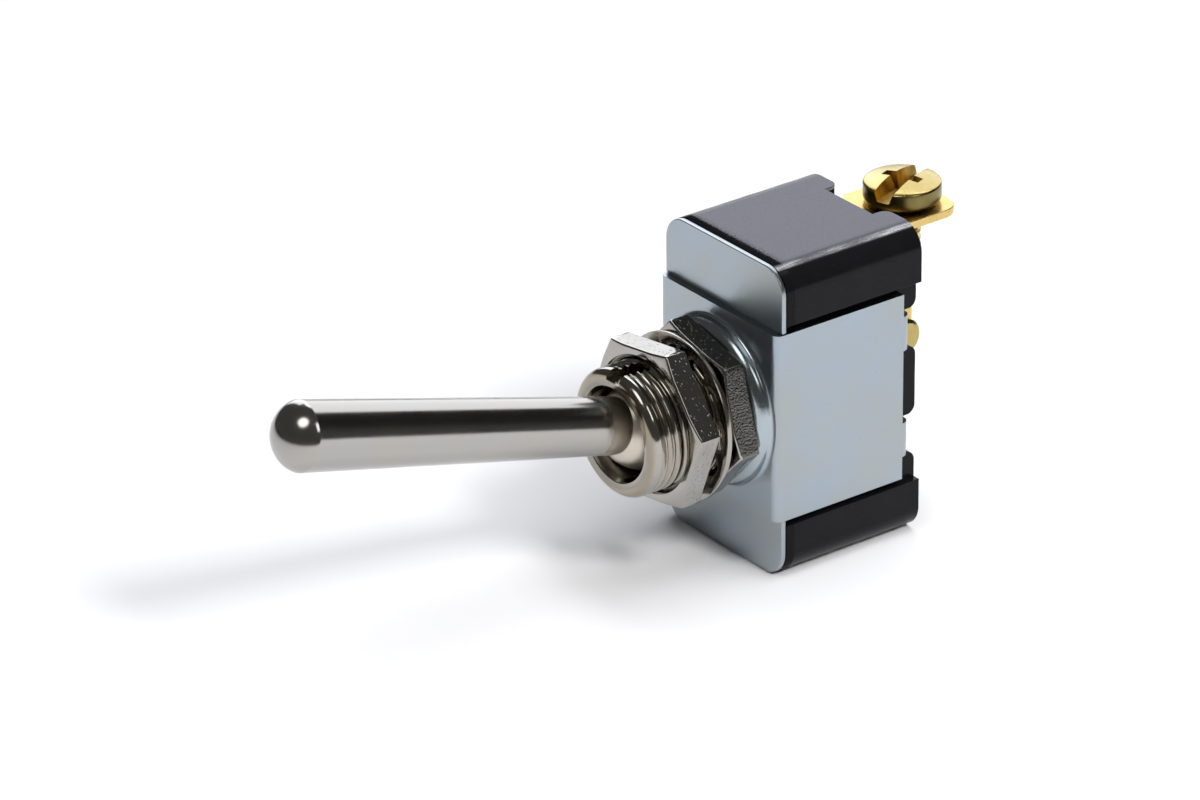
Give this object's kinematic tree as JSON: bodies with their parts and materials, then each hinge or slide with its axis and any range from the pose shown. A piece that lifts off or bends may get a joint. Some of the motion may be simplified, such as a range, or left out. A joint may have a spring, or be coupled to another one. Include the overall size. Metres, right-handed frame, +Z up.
{
  "type": "panel toggle switch",
  "caption": "Panel toggle switch: bat lever in a threaded stem with hex nuts and lock washer, steel yoke round a black case, and brass screw terminals.",
  "frame": {"origin": "on the stem axis, at the front face of the yoke, which is the body's face towards the panel", "axes": "+X across the body's width, +Y back into the case towards the terminals, +Z up along the body's height with the end terminal at the top; the stem and the lever point to -Y, and the lever swings in the YZ plane"},
  "size_m": [0.017, 0.0721, 0.0312],
  "materials": {
    "zinc_steel": "satin bluish zinc plate",
    "fibre_sheet": "matt vulcanised fibre",
    "phenolic": "glossy moulded phenolic",
    "nickel_stem": "bright nickel plate",
    "bright_nickel": "polished nickel plate",
    "pin_steel": "ground steel",
    "plunger_brass": "turned brass",
    "spring_steel": "bright spring wire",
    "rocker_bronze": "rolled phosphor bronze",
    "contact_silver": "silver contact face",
    "saddle_brass": "pressed brass",
    "terminal_brass": "bright stamped brass",
    "screw_brass": "bright brass plate",
    "nickel_nut": "nickel plate over milled flats",
    "washer_steel": "nickel-plated spring steel"
  },
  "bodies": {
    "switch_body": {"yoke": "zinc_steel", "cover_plate": "zinc_steel", "insulating_sheet": "fibre_sheet", "case": "phenolic", "stem": "nickel_stem", "rocker_saddle": "saddle_brass", "saddle_rivet": "saddle_brass", "fixed_contact": "contact_silver", "end_terminal": "terminal_brass", "centre_terminal": "terminal_brass", "end_screw": "screw_brass", "centre_screw": "screw_brass", "rear_nut": "nickel_nut"},
    "lever": {"lever": "bright_nickel", "pivot_pin": "pin_steel", "plunger_spring": "spring_steel"},
    "plunger": {"plunger": "plunger_brass"},
    "rocker": {"rocker": "rocker_bronze", "moving_contact": "contact_silver"},
    "lock_washer": {"lock_washer": "washer_steel"},
    "front_nut": {"front_nut": "nickel_nut"}
  },
  "joints": [
    {"name": "lever_swing", "type": "hinge", "parent": "switch_body", "child": "lever", "pos_m": [0, -0.0085, 0], "axis": [1, 0, 0], "range_deg": [0, 31.2]},
    {"name": "plunger_slide", "type": "slide", "parent": "lever", "child": "plunger", "axis": [0, -0.9632, 0.2689], "range_m": [0, 0.0008], "stiffness_N_per_m": 400, "springref_m": -0.002, "deforming": ["plunger_spring"]},
    {"name": "rocker_rock", "type": "hinge", "parent": "switch_body", "child": "rocker", "pos_m": [0, 0.0094, 0], "axis": [1, 0, 0], "range_deg": [-15.6, 0]},
    {"name": "washer_slide", "type": "slide", "parent": "switch_body", "child": "lock_washer", "axis": [0, -1, 0], "range_m": [0, 0.0024]},
    {"name": "nut_turn", "type": "hinge", "parent": "lock_washer", "child": "front_nut", "pos_m": [0, 0, 0], "axis": [0, -1, 0], "range_deg": [0, 1080]}
  ],
  "couplings": [
    {"joint": "rocker_rock", "follows": "lever_swing", "ratio": -0.5},
    {"joint": "washer_slide", "follows": "nut_turn", "m_per_rad": 0.00012633}
  ]
}
